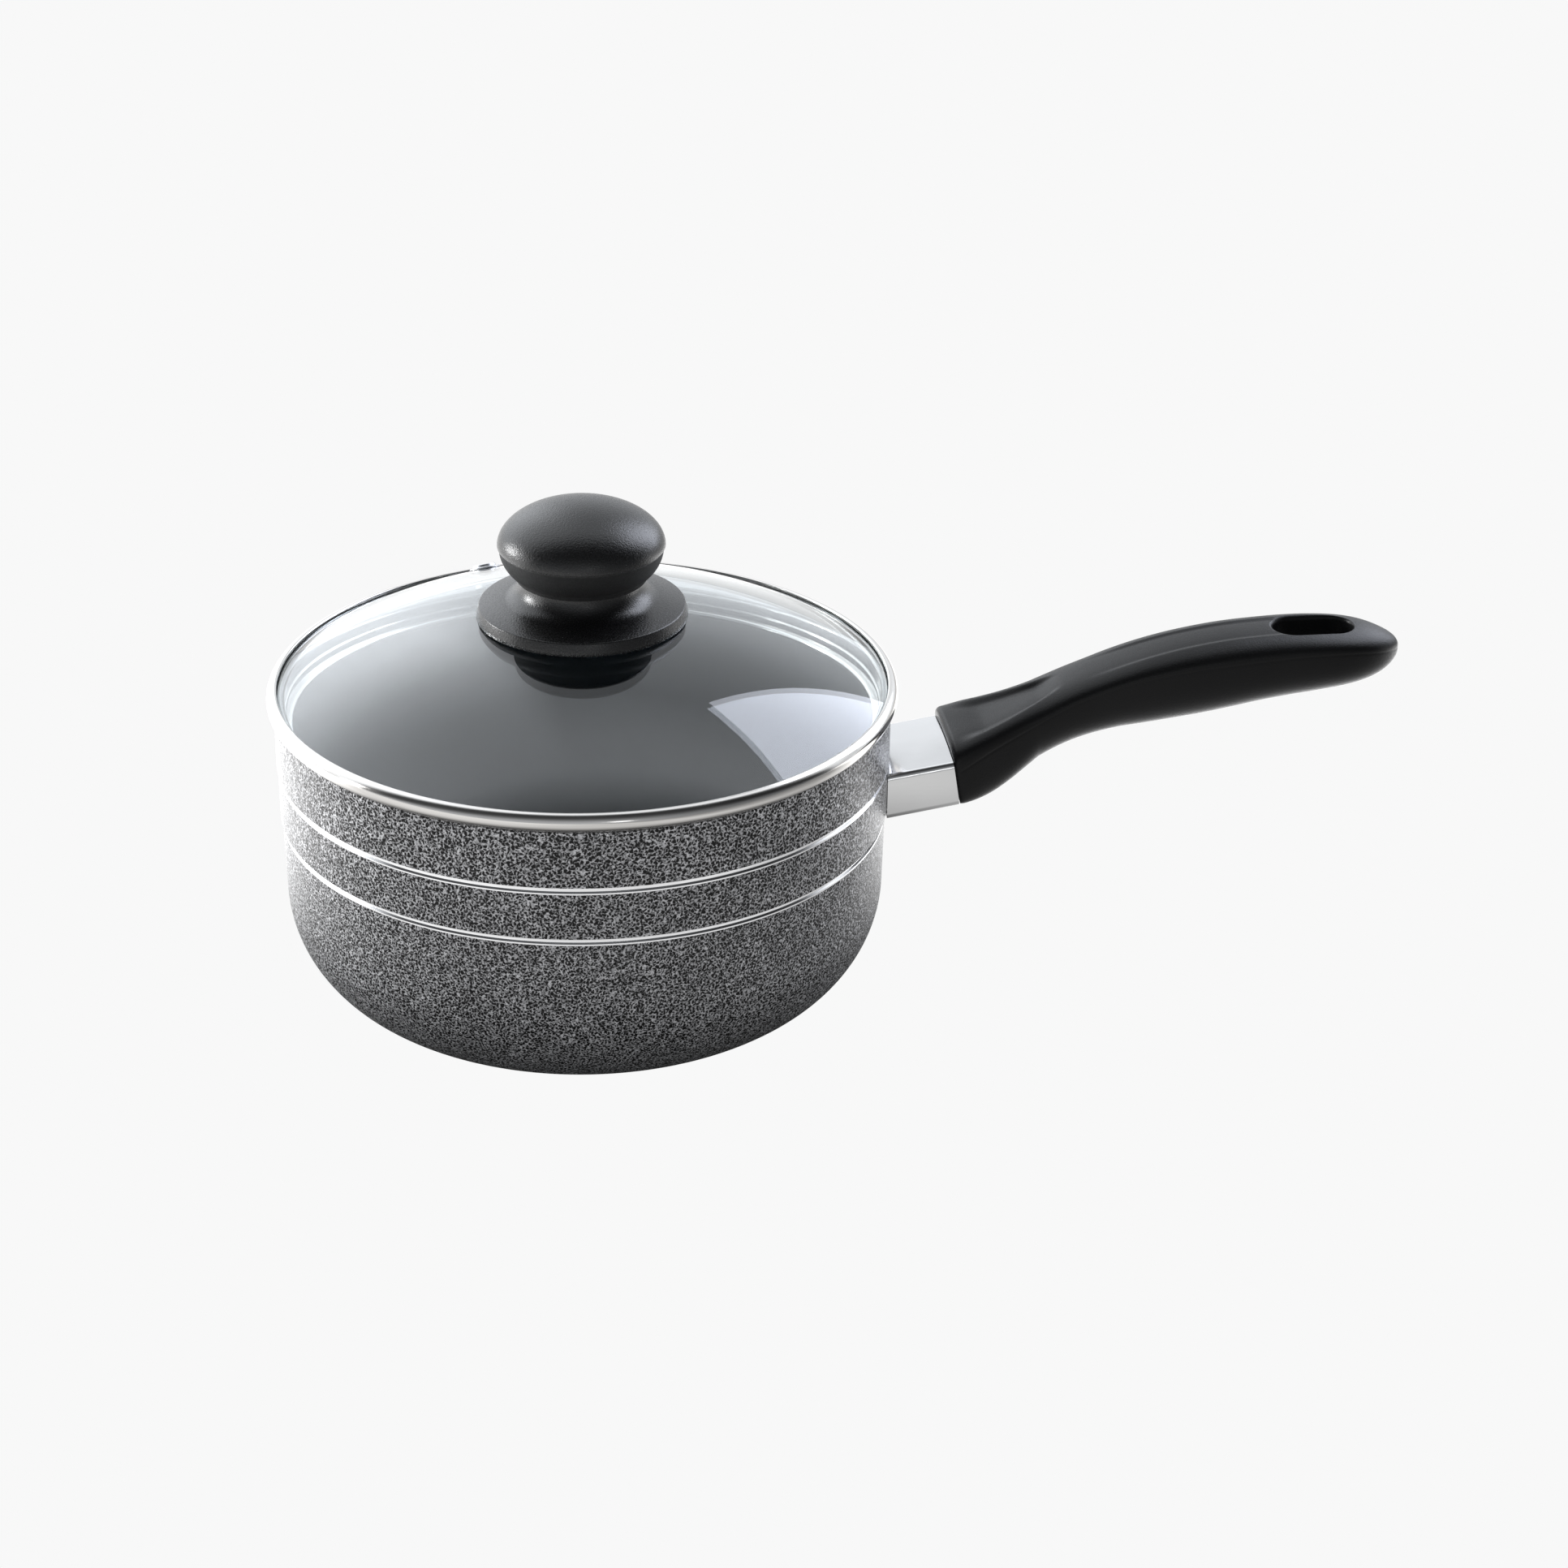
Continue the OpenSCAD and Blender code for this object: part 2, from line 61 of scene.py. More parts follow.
def rounded(corners, step=9.0):
    """Closed outline through (x, z) or (x, z, fillet radius) corners."""
    outline = []
    count = len(corners)
    for i, corner in enumerate(corners):
        radius = corner[2] if len(corner) > 2 else 0.0
        here = Vector(corner[:2])
        if radius <= 0.0:
            outline.append(tuple(here))
            continue
        to_last = (Vector(corners[i - 1][:2]) - here).normalized()
        to_next = (Vector(corners[(i + 1) % count][:2]) - here).normalized()
        half = to_last.angle(to_next) / 2
        reach = radius / math.tan(half)
        centre = here + (to_last + to_next).normalized() * (radius / math.sin(half))
        start = here + to_last * reach - centre
        end = here + to_next * reach - centre
        turn = start.angle_signed(end)
        pieces = max(2, math.ceil(abs(math.degrees(turn)) / step))
        for k in range(pieces + 1):
            a = -turn * k / pieces
            spun = Vector((start.x * math.cos(a) - start.y * math.sin(a),
                           start.x * math.sin(a) + start.y * math.cos(a)))
            outline.append(tuple(centre + spun))
    return outline


def sheet(path, thickness):
    """Outline of a sheet of even thickness along a path, with rounded ends."""
    half = thickness / 2
    bulge = 0.8 * half
    left, right = [], []
    for i, point in enumerate(path):
        before = Vector(path[max(i - 1, 0)])
        after = Vector(path[min(i + 1, len(path) - 1)])
        along = (after - before).normalized()
        across = Vector((-along.y, along.x)) * half
        left.append(tuple(Vector(point) + across))
        right.append(tuple(Vector(point) - across))
    first_tip = Vector(path[0]) + (Vector(path[0]) - Vector(path[1])).normalized() * bulge
    last_tip = Vector(path[-1]) + (Vector(path[-1]) - Vector(path[-2])).normalized() * bulge
    return right + [tuple(last_tip)] + left[::-1] + [tuple(first_tip)]


# -------------------------------------------------------------- meshes

def finish_mesh(name, bm, material):
    """Turn a bmesh into a smooth-shaded object with one material."""
    bmesh.ops.recalc_face_normals(bm, faces=bm.faces)
    mesh = bpy.data.meshes.new(name)
    bm.to_mesh(mesh)
    bm.free()
    return finish_object(name, mesh, material)


def finish_object(name, mesh, material):
    """Link a mesh as a smooth-shaded object that keeps its sharp edges."""
    for polygon in mesh.polygons:
        polygon.use_smooth = True
    mesh.set_sharp_from_angle(angle=SHARP_ANGLE)
    mesh.materials.clear()
    mesh.materials.append(material)
    obj = bpy.data.objects.new(name, mesh)
    bpy.context.scene.collection.objects.link(obj)
    return obj


def bridge(bm, low, high):
    """Faces between two closed rings of vertices; either may be a single point."""
    count = max(len(low), len(high))
    if count == 1:
        return
    for k in range(count):
        n = (k + 1) % count
        corners = [low[k % len(low)], low[n % len(low)], high[n % len(high)], high[k % len(high)]]
        bm.faces.new(list(dict.fromkeys(corners)))


def lathe(name, outline, material, segments=SEGMENTS, place=Matrix.Identity(4)):
    """Solid of revolution about Z from a closed (radius, height) outline."""
    bm = bmesh.new()
    rings = []
    for radius, height in outline:
        if radius < 1e-6:
            rings.append([bm.verts.new(place @ Vector((0, 0, height * MM)))])
            continue
        ring = []
        for k in range(segments):
            a = math.tau * k / segments
            ring.append(bm.verts.new(place @ Vector(
                (radius * math.cos(a) * MM, radius * math.sin(a) * MM, height * MM))))
        rings.append(ring)
    for i, ring in enumerate(rings):
        bridge(bm, ring, rings[(i + 1) % len(rings)])
    return finish_mesh(name, bm, material)


def cut(obj, cutter):
    """Subtract one object from another and drop the cutter."""
    modifier = obj.modifiers.new("cut", "BOOLEAN")
    modifier.operation = "DIFFERENCE"
    modifier.solver = "EXACT"
    modifier.object = cutter
    depsgraph = bpy.context.evaluated_depsgraph_get()
    mesh = bpy.data.meshes.new_from_object(obj.evaluated_get(depsgraph))
    material = obj.data.materials[0]
    name = obj.name
    bpy.data.objects.remove(obj)
    bpy.data.objects.remove(cutter)
    return finish_object(name, mesh, material)


def smoothstep(low, high, value):
    """Smooth rise from 0 to 1 between two values."""
    t = min(1.0, max(0.0, (value - low) / (high - low)))
    return t * t * (3 - 2 * t)


# ------------------------------------------------------ material nodes

class Nodes:
    """Short ways to add nodes to one node tree."""

    def __init__(self, tree):
        self.tree = tree
        tree.nodes.clear()

    def add(self, kind, **inputs):
        """A new shader node with some of its inputs set."""
        node = self.tree.nodes.new("ShaderNode" + kind)
        for socket, value in inputs.items():
            node.inputs[socket.replace("_", " ")].default_value = value
        return node

    def link(self, source, target):
        self.tree.links.new(source, target)

    def coordinates(self, kind):
        return self.add("TexCoord").outputs[kind]

    def axes(self, vector):
        """The x, y and z of a vector socket."""
        split = self.add("SeparateXYZ")
        self.link(vector, split.inputs[0])
        return split.outputs

    def math(self, operation, a, b=None):
        """One sum, whose terms are numbers or sockets."""
        node = self.add("Math")
        node.operation = operation
        for socket, value in zip(node.inputs, (a, b)):
            if value is None:
                continue
            if isinstance(value, (int, float)):
                socket.default_value = value
            else:
                self.link(value, socket)
        return node.outputs[0]

    def length(self, x, y):
        """Distance of (x, y) from the origin."""
        squares = [self.math("MULTIPLY", part, part) for part in (x, y)]
        return self.math("SQRT", self.math("ADD", *squares))


class Shader(Nodes):
    """A Principled material and short ways to vary it."""

    def __init__(self, name, **values):
        self.material = bpy.data.materials.new(name)
        self.material.use_nodes = True
        super().__init__(self.material.node_tree)
        self.output = self.add("OutputMaterial")
        self.bsdf = self.add("BsdfPrincipled", **values)
        self.link(self.bsdf.outputs[0], self.output.inputs["Surface"])
        self.place = self.coordinates("Object")

    def feed(self, socket, source):
        self.link(source, self.bsdf.inputs[socket])

    def noise(self, scale, detail=2.0, roughness=0.5, vector=None, distortion=0.0):
        node = self.add("TexNoise", Scale=scale, Detail=detail, Roughness=roughness,
                        Distortion=distortion)
        self.link(vector or self.place, node.inputs["Vector"])
        return node.outputs["Fac"]

    def voronoi(self, scale, feature="F1", vector=None):
        node = self.add("TexVoronoi", Scale=scale)
        node.feature = feature
        self.link(vector or self.place, node.inputs["Vector"])
        return node.outputs["Distance"]

    def remap(self, source, from_low, from_high, to_low=0.0, to_high=1.0):
        """A value carried from one range to another, and held at its ends."""
        node = self.add("MapRange", From_Min=from_low, From_Max=from_high,
                        To_Min=to_low, To_Max=to_high)
        self.link(source, node.inputs["Value"])
        return node.outputs["Result"]

    def mix(self, factor, dark, light):
        node = self.add("Mix")
        node.data_type = "RGBA"
        self.link(factor, node.inputs["Factor"])
        node.inputs[6].default_value = (*dark, 1)
        node.inputs[7].default_value = (*light, 1)
        return node.outputs[2]

    def stretched(self, x, y, z):
        """Coordinates with marks drawn out along the axes that get small numbers."""
        node = self.add("Mapping", Scale=(x, y, z))
        self.link(self.place, node.inputs["Vector"])
        return node.outputs["Vector"]

    def wobbled(self, scale, amount):
        """Coordinates pushed about at random, to break up regular patterns."""
        noise = self.add("TexNoise", Scale=scale, Detail=1.0)
        self.link(self.place, noise.inputs["Vector"])
        push = self.add("VectorMath")
        push.operation = "MULTIPLY_ADD"
        self.link(noise.outputs["Color"], push.inputs[0])
        push.inputs[1].default_value = (amount, amount, amount)
        self.link(self.place, push.inputs[2])
        return push.outputs[0]

    def turned(self):
        """Coordinates that run round the Z axis, for marks left by turning."""
        round_the_axis = 0.004
        x, y, z = self.axes(self.place)
        join = self.add("CombineXYZ")
        angle = self.math("ARCTAN2", y, x)
        self.link(self.math("MULTIPLY", angle, round_the_axis), join.inputs[0])
        self.link(self.length(x, y), join.inputs[1])
        self.link(z, join.inputs[2])
        return join.outputs[0]

    def bump(self, height, strength, distance, under=None):
        node = self.add("Bump", Strength=strength, Distance=distance)
        self.link(height, node.inputs["Height"])
        if under:
            self.link(under, node.inputs["Normal"])
        return node.outputs["Normal"]


def speckled_enamel(name, cells):
    """Hammer-tone paint: a silver-grey network around near-black droplets."""
    s = Shader(name, IOR=1.30)
    droplets = s.voronoi(cells, "DISTANCE_TO_EDGE", s.wobbled(cells * 0.9, 1.1 / cells))
    fine = s.noise(cells * 1.5, detail=1.0)
    field = s.math("ADD", droplets, s.math("MULTIPLY", s.math("SUBTRACT", fine, 0.5), 0.7))
    network = s.remap(field, 0.17, -0.04)
    strength = s.remap(s.noise(cells * 0.7, detail=1.0), 0.3, 0.7, 0.62, 1.0)
    tone = s.remap(s.noise(90.0, detail=2.0), 0.3, 0.7, 0.85, 1.0)
    s.feed("Base Color", s.mix(s.math("MULTIPLY", network, s.math("MULTIPLY", strength, tone)),
                               (0.002, 0.002, 0.0022), (0.76, 0.76, 0.78)))
    s.feed("Metallic", s.math("MULTIPLY", network, 0.30))
    s.feed("Roughness", s.remap(network, 0.0, 1.0, 0.24, 0.42))
    orange_peel = s.bump(s.noise(420.0, detail=2.0), 0.6, 0.0005)
    s.feed("Normal", s.bump(network, 0.5, 0.00008, under=orange_peel))
    return s.material


def turned_aluminium():
    """Bare aluminium with the fine rings a lathe tool leaves."""
    s = Shader("bare_aluminium", Metallic=1.0)
    rings = s.noise(2600.0, detail=2.0, vector=s.turned())
    tone = s.noise(60.0, detail=3.0)
    s.feed("Base Color", s.mix(tone, (0.84, 0.84, 0.85), (0.93, 0.93, 0.94)))
    s.feed("Roughness", s.remap(rings, 0.3, 0.7, 0.10, 0.22))
    s.feed("Normal", s.bump(rings, 0.12, 0.00004))
    return s.material


def polished_steel(name, marks, dark, light):
    """Bright stainless steel with faint polishing marks, round the axis or straight."""
    s = Shader(name, Metallic=1.0)
    coordinates = s.turned() if marks == "round" else s.stretched(0.08, 1.0, 1.0)
    lines = s.noise(1900.0, detail=3.0, vector=coordinates)
    smears = s.noise(38.0, detail=3.0, roughness=0.6)
    s.feed("Base Color", s.mix(smears, dark, light))
    s.feed("Roughness", s.math("ADD", s.remap(smears, 0.3, 0.7, 0.10, 0.15),
                               s.remap(lines, 0.3, 0.7, 0.0, 0.05)))
    s.feed("Normal", s.bump(lines, 0.05, 0.00002))
    return s.material


def phenolic(name, ior, grain, depth, low_gloss, high_gloss, matt_below=None):
    """Moulded black phenolic with a fine spark-eroded grain, duller below a height."""
    s = Shader(name, IOR=ior)
    fine = s.noise(grain, detail=2.0, roughness=0.6)
    pits = s.voronoi(grain * 0.8)
    cloud = s.noise(70.0, detail=3.0)
    s.feed("Base Color", s.mix(cloud, (0.004, 0.004, 0.0042), (0.007, 0.007, 0.0074)))
    gloss = s.remap(fine, 0.3, 0.7, low_gloss, high_gloss)
    if matt_below is not None:
        _, _, z = s.axes(s.place)
        duller = s.remap(z, matt_below, matt_below - 0.0003, 0.0, 0.45)
        gloss = s.math("ADD", gloss, duller)
    s.feed("Roughness", gloss)
    under = s.bump(fine, depth, 0.0002)
    s.feed("Normal", s.bump(pits, depth * 0.6, 0.00012, under=under))
    return s.material


def nonstick():
    """Satin black coating with tiny light flecks."""
    s = Shader("nonstick_coating", IOR=1.42)
    flecks = s.remap(s.voronoi(900.0), 0.06, 0.14, 1.0, 0.0)
    grain = s.noise(1500.0, detail=2.0)
    sparse = s.remap(s.noise(400.0, detail=1.0), 0.58, 0.66)
    s.feed("Base Color", s.mix(s.math("MULTIPLY", flecks, sparse), (0.016, 0.021, 0.025),
                               (0.10, 0.11, 0.12)))
    s.feed("Roughness", s.remap(grain, 0.3, 0.7, 0.30, 0.42))
    s.feed("Normal", s.bump(grain, 0.04, 0.00005))
    return s.material


def glass():
    """Clear tempered glass; lamps shine through it to what lies below."""
    s = Shader("clear_glass", Transmission_Weight=1.0, Roughness=0.0, IOR=1.5,
               Base_Color=(0.93, 0.97, 0.985, 1))
    tint = s.add("BsdfTransparent", Color=(0.90, 0.92, 0.92, 1))
    path = s.add("LightPath")
    mix = s.add("MixShader")
    s.link(path.outputs["Is Shadow Ray"], mix.inputs[0])
    s.link(s.bsdf.outputs[0], mix.inputs[1])
    s.link(tint.outputs[0], mix.inputs[2])
    s.link(mix.outputs[0], s.output.inputs["Surface"])
    smears = s.noise(55.0, detail=4.0, roughness=0.65, distortion=0.6)
    s.feed("Roughness", s.remap(smears, 0.55, 0.8, 0.0, 0.035))
    return s.material


def plain_metal(name, dark, light, low, high):
    """Ordinary turned or stamped metal for the small fittings."""
    s = Shader(name, Metallic=1.0)
    grain = s.noise(900.0, detail=3.0)
    tone = s.noise(140.0, detail=2.0)
    s.feed("Base Color", s.mix(tone, dark, light))
    s.feed("Roughness", s.remap(grain, 0.3, 0.7, low, high))
    s.feed("Normal", s.bump(grain, 0.1, 0.00005))
    return s.material


def silicone():
    """Matt black gasket rubber."""
    s = Shader("black_silicone", IOR=1.41)
    bloom = s.noise(240.0, detail=3.0)
    s.feed("Base Color", s.mix(bloom, (0.010, 0.010, 0.010), (0.022, 0.022, 0.022)))
    s.feed("Roughness", s.remap(bloom, 0.3, 0.7, 0.55, 0.72))
    s.feed("Normal", s.bump(bloom, 0.1, 0.0001))
    return s.material


ENAMEL_COARSE = speckled_enamel("speckled_enamel_coarse", 990.0)
ENAMEL_MEDIUM = speckled_enamel("speckled_enamel_medium", 1070.0)
ENAMEL_FINE = speckled_enamel("speckled_enamel_fine", 1130.0)
ALUMINIUM = turned_aluminium()
RING_STEEL = polished_steel("polished_steel_ring", "round",
                            (0.60, 0.585, 0.565), (0.67, 0.655, 0.635))
SLEEVE_STEEL = polished_steel("polished_steel_sleeve", "straight",
                              (0.62, 0.62, 0.62), (0.70, 0.70, 0.70))
CAP_BLACK = phenolic("black_phenolic_cap", 1.52, 2300.0, 0.34, 0.22, 0.36, 0.1269)
BASE_BLACK = phenolic("black_phenolic_base", 1.50, 2300.0, 0.30, 0.20, 0.34)
GRIP_BLACK = phenolic("black_phenolic_grip", 1.28, 2600.0, 0.25, 0.30, 0.42)
COATING = nonstick()
GLASS = glass()
STEEL = plain_metal("plain_steel", (0.52, 0.53, 0.55), (0.62, 0.62, 0.63), 0.25, 0.42)
RIVET = plain_metal("rivet_aluminium", (0.78, 0.78, 0.79), (0.88, 0.88, 0.88), 0.22, 0.34)
BRASS = plain_metal("insert_brass", (0.66, 0.48, 0.20), (0.78, 0.60, 0.28), 0.22, 0.36)
RUBBER = silicone()


# ----------------------------------------------------------------- pan

PAN_TOP = 83.6
CORNER_X = 48.8
CORNER_R = 32.0
ENAMEL_T = 0.3
FOOT_R = 53.84
UPPER_R, MIDDLE_R, LOWER_R = 82.2, 81.8, 81.3
LINE_1, LINE_2 = 67.0, 52.3
LINE_HALF = 1.0
MOUTH_R, INNER_BEND_R = 79.6, 78.3
FLOOR_T, INNER_CORNER_R = 3.5, 29.5
INNER_CORNER_Z = FLOOR_T + INNER_CORNER_R
LINING_T = 0.2
GROOVES, GROOVE_W, GROOVE_D = 6, 1.2, 0.3


def polished_line(height, low_r, high_r):
    """Bare aluminium channel between two enamel bands, from the bottom up."""
    return [
        (low_r - ENAMEL_T, height - 1.6),
        (low_r - 0.03, height - 1.12, 0.08),
        (low_r - 0.03, height - 0.66, 0.12),
        (low_r - 0.46, height - 0.22, 0.12),
        (low_r - 0.46, height + 0.72, 0.2),
        (high_r - 0.12, height + 1.02, 0.1),
        (high_r - ENAMEL_T, height + 1.3),
    ]


def pan_outline():
    """Outline of the bare pan, from the underside round to the floor inside."""
    corners = [(0.0, 0.0)]
    for i in range(1, GROOVES + 1):
        start = i * 7 - 3
        end = start + GROOVE_W
        corners += [(start, 0.0, 0.1), (start + 0.1, GROOVE_D, 0.1),
                    (end - 0.1, GROOVE_D, 0.1), (end, 0.0, 0.1)]
    corners += [(CORNER_X, 0.0, 0.2)]
    corners += arc(CORNER_X, CORNER_R, CORNER_R - ENAMEL_T, -88, 0, 44)
    corners += polished_line(LINE_2, LOWER_R, MIDDLE_R)
    corners += polished_line(LINE_1, MIDDLE_R, UPPER_R)
    corners += [(UPPER_R - ENAMEL_T, PAN_TOP, 0.6), (MOUTH_R, PAN_TOP, 0.3)]
    corners += arc(CORNER_X, INNER_CORNER_Z, INNER_CORNER_R, 0, -90, 40)
    corners += [(0.0, FLOOR_T)]
    return rounded(corners, step=18.0)


def enamel_band(radius, low, high):
    """Outline of a straight band of enamel, from one height to another."""
    return rounded([(radius, low, 0.12), (radius, high, 0.12),
                    (radius - ENAMEL_T, high), (radius - ENAMEL_T, low)])


def lower_enamel():
    """Outline of the lowest band, round the big corner."""
    start = -math.degrees(math.acos((FOOT_R - CORNER_X) / CORNER_R))
    outer = arc(CORNER_X, CORNER_R, CORNER_R, start, 0, 56)
    inner = arc(CORNER_X, CORNER_R, CORNER_R - ENAMEL_T, 0, start, 56)
    top = LINE_2 - LINE_HALF
    outer.append((LOWER_R, top, 0.12))
    inner.insert(0, (LOWER_R - ENAMEL_T, top))
    return rounded(outer + inner)


body = lathe("pan_shell", pan_outline(), ALUMINIUM)
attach(body, "pan")
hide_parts("pan_body")

BANDS = {
    "upper": (enamel_band(UPPER_R, LINE_1 + LINE_HALF, PAN_TOP - 0.1), ENAMEL_COARSE),
    "middle": (enamel_band(MIDDLE_R, LINE_2 + LINE_HALF, LINE_1 - LINE_HALF), ENAMEL_MEDIUM),
    "lower": (lower_enamel(), ENAMEL_FINE),
}
for band, (outline, paint) in BANDS.items():
    obj = lathe("enamel_" + band, outline, paint)
    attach(obj, "pan")
    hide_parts("outer_enamel_" + band)


def lining_outline():
    """Outline of the coating, from the floor up to just below the mouth and back."""
    slope = (MOUTH_R - INNER_BEND_R) / (PAN_TOP - INNER_CORNER_Z)
    top = PAN_TOP - 0.8
    top_r = INNER_BEND_R + slope * (top - INNER_CORNER_Z)
    corners = [(0.0, FLOOR_T)]
    corners += arc(CORNER_X, INNER_CORNER_Z, INNER_CORNER_R, -90, 0, 40)
    corners += [(top_r, top), (top_r - LINING_T, top)]
    corners += arc(CORNER_X, INNER_CORNER_Z, INNER_CORNER_R - LINING_T, 0, -90, 40)
    corners += [(0.0, FLOOR_T + LINING_T)]
    return rounded(corners)


lining = lathe("lining", lining_outline(), COATING)
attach(lining, "pan")
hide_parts("nonstick_lining")


# ----------------------------------------------------------------- lid

# the dome's centre lies below the pan
DOME_R = 165.0
DOME_Z = -55.803
GLASS_T = 4.0
SCREW_HOLE_R = 3.5
RING_X, RING_Z = 81.3, 86.3
RING_R = 2.7
RING_T = 0.5
GLASS_LOW = PAN_TOP + RING_T + 0.05
LIP_R = 81.35
LIP_LOW, LIP_HIGH = 88.05, 88.43
SKIRT_R = 78.9
SKIRT_STEP = 0.5
CURL_Z, CURL_R = 77.5, 0.75
VENT_ANGLE = 109.0
VENT_OFFSET = 68.0
VENT_TURN = Matrix.Translation((0, 0, DOME_Z * MM))
VENT_TURN = VENT_TURN @ Matrix.Rotation(math.radians(VENT_ANGLE), 4, "Z")
VENT_TURN = VENT_TURN @ Matrix.Rotation(math.asin(VENT_OFFSET / DOME_R), 4, "Y")
VENT_PLACE = VENT_TURN @ Matrix.Translation((0, 0, DOME_R * MM))


def dome_arc(radius, from_r, to_r, steps):
    """Points on the dome between two distances from the axis."""
    points = []
    for i in range(steps + 1):
        r = from_r + (to_r - from_r) * i / steps
        points.append((r, DOME_Z + math.sqrt(radius * radius - r * r)))
    return points


def glass_outline():
    """Outline of the dome, with the rounded edge that the ring holds."""
    corners = dome_arc(DOME_R - GLASS_T, SCREW_HOLE_R, 79.2, 60)
    corners += [(79.58, GLASS_LOW, 0.3)]
    corners += arc(RING_X, RING_Z, RING_Z - GLASS_LOW, -90, 0, 12)
    corners += dome_arc(DOME_R, 83.2, SCREW_HOLE_R, 64)
    return rounded(corners)


pane = lathe("glass_dome", glass_outline(), GLASS)
vent_plug = [(0, -14), (2.8, -14), (2.8, 10), (0, 10)]
vent_hole = lathe("vent_cutter", vent_plug, GLASS, 48, VENT_PLACE)
pane = cut(pane, vent_hole)
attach(pane, "lid")
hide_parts("lid_glass")


def ring_path():
    """Middle of the rolled sheet, from the lip on the glass round to the curl."""
    half = RING_T / 2
    skirt = SKIRT_R - half
    inner = skirt - SKIRT_STEP
    path = [(LIP_R + half, LIP_LOW), (LIP_R + half, LIP_LOW + 0.2)]
    path += arc(LIP_R + 2 * half, LIP_HIGH, half, 180, 80, 10)
    path += arc(RING_X, RING_Z, RING_R - half, 74, -90, 40)
    path += arc(skirt + 0.5, PAN_TOP + half - 0.5, 0.5, 90, 180, 8)
    path += arc(skirt - 0.45, 80.85, 0.45, 0, -70, 5)
    path += arc(inner + 0.45, 80.2, 0.45, 110, 180, 5)
    path += arc(inner - CURL_R, CURL_Z, CURL_R, 0, -320, 28)
    return path


rim = lathe("lid_ring", sheet(ring_path(), RING_T), RING_STEEL)
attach(rim, "lid")
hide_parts("lid_rim")

eyelet_outline = rounded([
    (1.7, -4.75, 0.15), (3.8, -4.75, 0.15), (3.8, -4.15, 0.15), (2.7, -4.1, 0.05),
    (2.7, 0.03), (4.3, 0.03, 0.1), (4.2, 0.45, 0.2), (3.3, 0.55, 0.2), (3.0, 1.3, 0.3),
    (1.7, 1.3, 0.35),
])
eyelet = lathe("vent_ring", eyelet_outline, STEEL, 96, VENT_PLACE)
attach(eyelet, "lid")
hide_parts("vent_eyelet")


# ---------------------------------------------------------------- knob

BASE_R = 28.0
RIM_Z = 110.55
NECK_R, NECK_Z = 15.8, 118.15
FILLET_R = 6.0
CAP_R, CAP_TOP = 22.2, 138.75
CAP_STEP = 0.45
SPLIT_Z = 127.05
GASKET_R, GASKET_T = 15.2, 0.8
SPIGOT_R, SPIGOT_H = 6.5, 3.0
INSERT_R = 4.0


def knob_base_outline():
    """Outline of flange, neck and spigot, hollowed to sit on the dome and gasket."""
    spigot_top = NECK_Z + SPIGOT_H
    bore_r = INSERT_R + 0.1
    corners = dome_arc(DOME_R + GASKET_T, bore_r, GASKET_R, 10)
    corners += dome_arc(DOME_R + 0.25, GASKET_R, BASE_R - 0.2, 16)
    low = corners[-1][1]
    corners += [(BASE_R, low + 0.15, 0.1), (BASE_R, low + 1.0, 1.5), (BASE_R - 0.7, RIM_Z, 0.55)]
    corners += arc(NECK_R + FILLET_R, NECK_Z, FILLET_R, 262, 180, 22)
    corners += [(SPIGOT_R, NECK_Z, 0.1), (SPIGOT_R, spigot_top, 0.3), (bore_r, spigot_top)]
    return rounded(corners)


def knob_cap_outline():
    """Outline of the cap: socket, curved underside, mould seam and oval top."""
    socket_r, socket_top = SPIGOT_R + 0.1, NECK_Z + SPIGOT_H + 0.2
    insert_top = CAP_TOP - 8
    steps = 48
    under_r = 9.4
    seam_r = CAP_R - CAP_STEP
    start = -math.degrees(math.asin((SPLIT_Z - NECK_Z - 1.1) / under_r))
    corners = [(socket_r, socket_top), (socket_r, NECK_Z), (NECK_R + 1.5, NECK_Z, 0.3)]
    corners += arc(seam_r - under_r, SPLIT_Z, under_r, start, -1.0, 16)
    corners += [(seam_r, SPLIT_Z + 0.02, 0.06), (CAP_R - 0.02, SPLIT_Z + 0.05, 0.2)]
    for i in range(2, steps):
        a = math.pi / 2 * i / steps
        corners.append((CAP_R * math.cos(a), SPLIT_Z + (CAP_TOP - SPLIT_Z) * math.sin(a)))
    corners += [(0.0, CAP_TOP), (0.0, insert_top), (INSERT_R, insert_top), (INSERT_R, socket_top)]
    return rounded(corners)


knob_base = lathe("knob_flange", knob_base_outline(), BASE_BLACK)
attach(knob_base, "lid")
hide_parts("knob_base")

knob_cap = lathe("knob_top", knob_cap_outline(), CAP_BLACK)
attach(knob_cap, "lid")
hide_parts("knob_cap")


# -------------------------------------------------------------- handle

GUARD_ROOT = Vector((81.0, 0.0, 56.25))
GUARD_TILT = math.radians(9)
GUARD_AXIS = Vector((math.cos(GUARD_TILT), 0.0, math.sin(GUARD_TILT)))
GUARD_UP = Vector((-math.sin(GUARD_TILT), 0.0, math.cos(GUARD_TILT)))
GUARD_L = 18.6
GUARD_T = 0.8
GUARD_HALF_W, GUARD_HALF_H = 16.2, 6.4
GUARD_ARCH = 1.7
GUARD_CLEAR_R = 81.85

